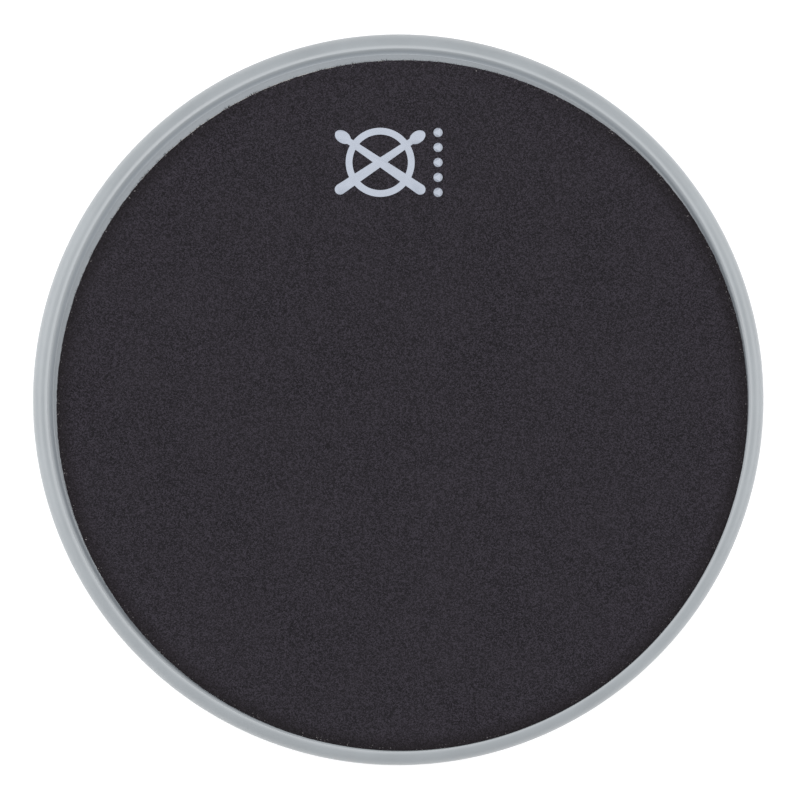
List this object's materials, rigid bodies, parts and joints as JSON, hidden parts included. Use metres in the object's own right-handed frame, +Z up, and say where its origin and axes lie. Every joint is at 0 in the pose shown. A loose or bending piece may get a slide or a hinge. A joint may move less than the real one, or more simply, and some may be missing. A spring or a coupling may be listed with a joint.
{
  "type": "drum practice pad",
  "caption": "Round drum practice pad: a soft bulging grey tray round a foam cushion with a black knit playing surface, with a threaded stand insert and a grip sheet underneath.",
  "frame": {"origin": "on the pad's axis, at the surface that it stands on", "axes": "+Z up along the pad's axis, out of the playing surface; +Y away from the player, towards the printed emblem; +X to the player's right"},
  "size_m": [0.305, 0.305, 0.0277],
  "materials": {
    "grip": "matte",
    "tray": "satin",
    "board": "matte",
    "insert": "satin",
    "screws": "satin",
    "cushion": "matte",
    "backing": "matte",
    "knit": "matte",
    "film": "satin"
  },
  "bodies": {
    "root": {"base_grip": "grip", "rim_tray": "tray", "core_board": "board", "stand_insert": "insert", "insert_screw_1": "screws", "insert_screw_2": "screws", "insert_screw_3": "screws", "insert_screw_4": "screws", "cushion": "cushion", "backing_foam": "backing", "knit_face": "knit", "printed_emblem": "film", "printed_dot_1": "film", "printed_dot_2": "film", "printed_dot_3": "film", "printed_dot_4": "film", "printed_dot_5": "film"}
  },
  "joints": []
}
